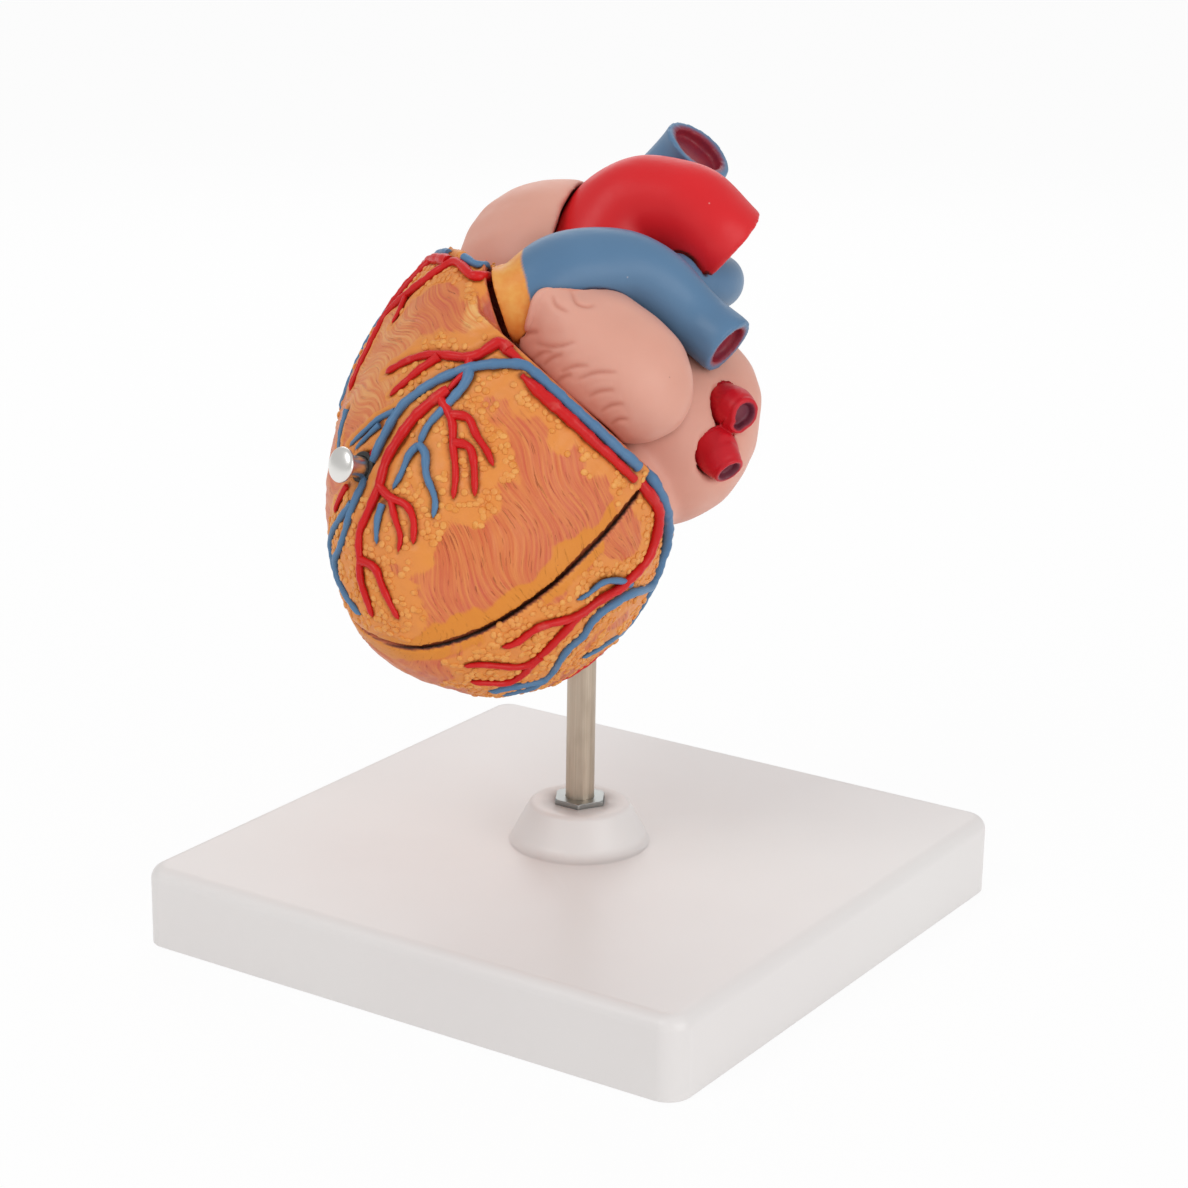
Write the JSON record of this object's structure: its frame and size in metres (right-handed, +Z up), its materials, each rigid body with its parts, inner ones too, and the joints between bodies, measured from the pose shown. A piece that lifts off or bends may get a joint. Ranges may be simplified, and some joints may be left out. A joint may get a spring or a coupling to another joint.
{
  "type": "heart anatomy model",
  "caption": "Teaching model of a human heart in two halves held by a pull pin, with coronary vessels, atria and great vessels, on a steel rod over a square base.",
  "frame": {"origin": "middle of the base plate's underside, on the surface it stands on", "axes": "+Z up along the support rod; X and Y along the sides of the base plate, with the front of the heart towards -Y"},
  "size_m": [0.13, 0.13, 0.1618],
  "materials": {
    "base": "glossy white moulding",
    "rod": "drawn steel",
    "fastener": "bright zinc plating",
    "sleeve": "plain nylon",
    "ventricle": "satin hand-painted plastic",
    "peg": "turned steel",
    "pin": "polished",
    "bush": "black",
    "artery": "satin red paint",
    "vein": "satin blue paint",
    "lung_vein": "satin dark red paint",
    "atrium": "satin pink paint",
    "valve": "satin cream paint",
    "papillary": "satin red-brown paint"
  },
  "bodies": {
    "stand": {"base_plate": "base", "support_rod": "rod", "top_nut": "fastener", "washer": "fastener", "lower_nut": "fastener"},
    "sleeve": {"rod_sleeve": "sleeve"},
    "heart": {"back_heart_body": "ventricle", "rod_socket": "sleeve", "pin_socket": "sleeve", "locating_pegs": "peg", "aorta": "artery", "pulmonary_trunk": "vein", "left_pulmonary_veins": "lung_vein", "right_pulmonary_veins": "lung_vein", "left_auricle": "atrium", "left_atrium": "atrium", "right_atrium": "atrium", "superior_vena_cava": "vein", "inferior_vena_cava": "vein", "mitral_valve": "valve", "tricuspid_valve": "valve", "aortic_valve": "valve", "pulmonary_valve": "valve", "left_papillary_muscles": "papillary", "right_papillary_muscles": "papillary"},
    "front_wall": {"front_heart_wall": "ventricle", "pin_bush": "bush"},
    "pin": {"locking_pin": "pin"}
  },
  "joints": [
    {"name": "heart_swivel", "type": "hinge", "parent": "stand", "child": "sleeve", "pos_m": [0, 0, 0.064], "axis": [0, 0, 1], "continuous": true},
    {"name": "heart_lift", "type": "slide", "parent": "sleeve", "child": "heart", "axis": [0, 0, 1], "range_m": [0, 0.03]},
    {"name": "front_wall_release", "type": "slide", "parent": "heart", "child": "front_wall", "axis": [-0.2267, -0.9365, 0.2675], "range_m": [0, 0.07]},
    {"name": "pin_pull", "type": "slide", "parent": "front_wall", "child": "pin", "axis": [-0.2267, -0.9365, 0.2675], "range_m": [0, 0.03]}
  ]
}
